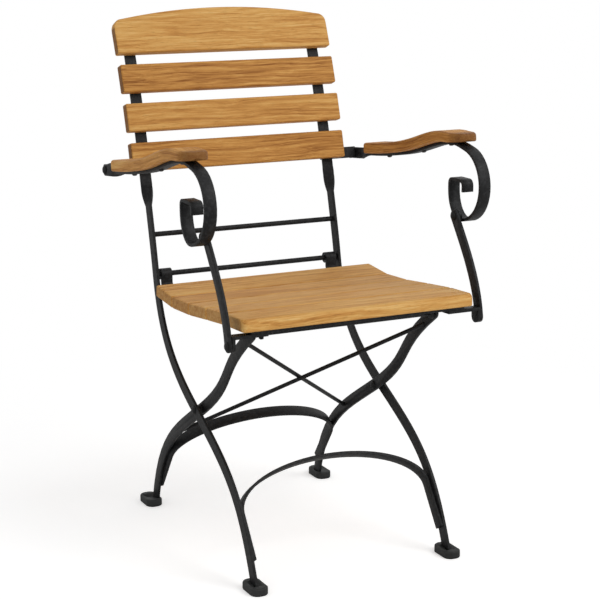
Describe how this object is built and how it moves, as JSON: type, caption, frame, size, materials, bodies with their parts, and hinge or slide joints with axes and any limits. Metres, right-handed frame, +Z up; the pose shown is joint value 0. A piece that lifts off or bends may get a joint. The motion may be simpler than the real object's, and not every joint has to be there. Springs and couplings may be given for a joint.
{
  "type": "folding armchair",
  "caption": "Folding garden armchair with a crossed flat-bar frame, slatted wooden seat and back, and wooden armrests on scrolled bars.",
  "frame": {"origin": "on the floor, under the middle of the overall width and depth", "axes": "+X to the viewer's right when facing the chair's front, -Y the front, +Z up"},
  "size_m": [0.532, 0.5561, 0.8867],
  "materials": {
    "iron": "satin black coating, slightly textured",
    "wood": "oiled golden-brown hardwood",
    "screw": "satin black screws",
    "foot": "matte dark grey plastic"
  },
  "bodies": {
    "long_frame": {"left_long_bar": "iron", "right_long_bar": "iron", "upper_cross_rod": "iron", "lower_cross_rod": "iron", "front_stretcher": "iron", "left_front_foot": "foot", "right_front_foot": "foot", "left_crossing_rivet": "iron", "right_crossing_rivet": "iron", "back_slat_1": "wood", "back_slat_2": "wood", "back_slat_3": "wood", "back_slat_4": "wood", "back_screws_1": "screw", "back_screws_2": "screw", "back_screws_3": "screw", "back_screws_4": "screw", "left_arm_bracket": "iron", "right_arm_bracket": "iron", "left_arm_rivet": "iron", "right_arm_rivet": "iron"},
    "short_frame": {"left_short_bar": "iron", "right_short_bar": "iron", "short_top_rod": "iron", "rear_stretcher": "iron", "brace_rod_a": "iron", "brace_rod_b": "iron", "left_rear_foot": "foot", "right_rear_foot": "foot"},
    "seat": {"seat_slat_1": "wood", "seat_slat_2": "wood", "seat_slat_3": "wood", "seat_slat_4": "wood", "seat_slat_5": "wood", "seat_screws_1": "screw", "seat_screws_2": "screw", "seat_screws_3": "screw", "seat_screws_4": "screw", "seat_screws_5": "screw", "left_seat_rail": "iron", "right_seat_rail": "iron", "seat_crossbar": "iron", "left_latch_hook": "iron", "right_latch_hook": "iron", "left_seat_ear": "iron", "right_seat_ear": "iron"},
    "left_arm": {"left_arm_bar": "iron", "left_armrest": "wood", "left_arm_screws": "screw", "left_link_rivet": "iron"},
    "left_link": {"left_arm_link": "iron", "left_ear_rivet": "iron"},
    "right_arm": {"right_arm_bar": "iron", "right_armrest": "wood", "right_arm_screws": "screw", "right_link_rivet": "iron"},
    "right_link": {"right_arm_link": "iron", "right_ear_rivet": "iron"}
  },
  "joints": [
    {"name": "seat_fold", "type": "hinge", "parent": "long_frame", "child": "seat", "pos_m": [0, 0.148, 0.438], "axis": [-1, 0, 0], "range_deg": [0, 90]},
    {"name": "short_frame_fold", "type": "hinge", "parent": "long_frame", "child": "short_frame", "pos_m": [0, -0.019, 0.238], "axis": [-1, 0, 0], "range_deg": [0, 78]},
    {"name": "left_arm_fold", "type": "hinge", "parent": "long_frame", "child": "left_arm", "pos_m": [-0.2425, 0.20828, 0.61742], "axis": [-1, 0, 0], "range_deg": [0, 93.6]},
    {"name": "left_link_turn", "type": "hinge", "parent": "left_arm", "child": "left_link", "pos_m": [-0.2242, -0.18022, 0.56142], "axis": [1, 0, 0], "range_deg": [0, 101.7]},
    {"name": "right_arm_fold", "type": "hinge", "parent": "long_frame", "child": "right_arm", "pos_m": [0.2425, 0.20828, 0.61742], "axis": [-1, 0, 0], "range_deg": [0, 93.6]},
    {"name": "right_link_turn", "type": "hinge", "parent": "right_arm", "child": "right_link", "pos_m": [0.2242, -0.18022, 0.56142], "axis": [1, 0, 0], "range_deg": [0, 101.7]}
  ],
  "couplings": [
    {"joint": "short_frame_fold", "follows": "seat_fold", "ratio": 0.86},
    {"joint": "left_arm_fold", "follows": "seat_fold", "ratio": 1.04},
    {"joint": "left_link_turn", "follows": "seat_fold", "ratio": 1.13},
    {"joint": "right_arm_fold", "follows": "seat_fold", "ratio": 1.04},
    {"joint": "right_link_turn", "follows": "seat_fold", "ratio": 1.13}
  ]
}
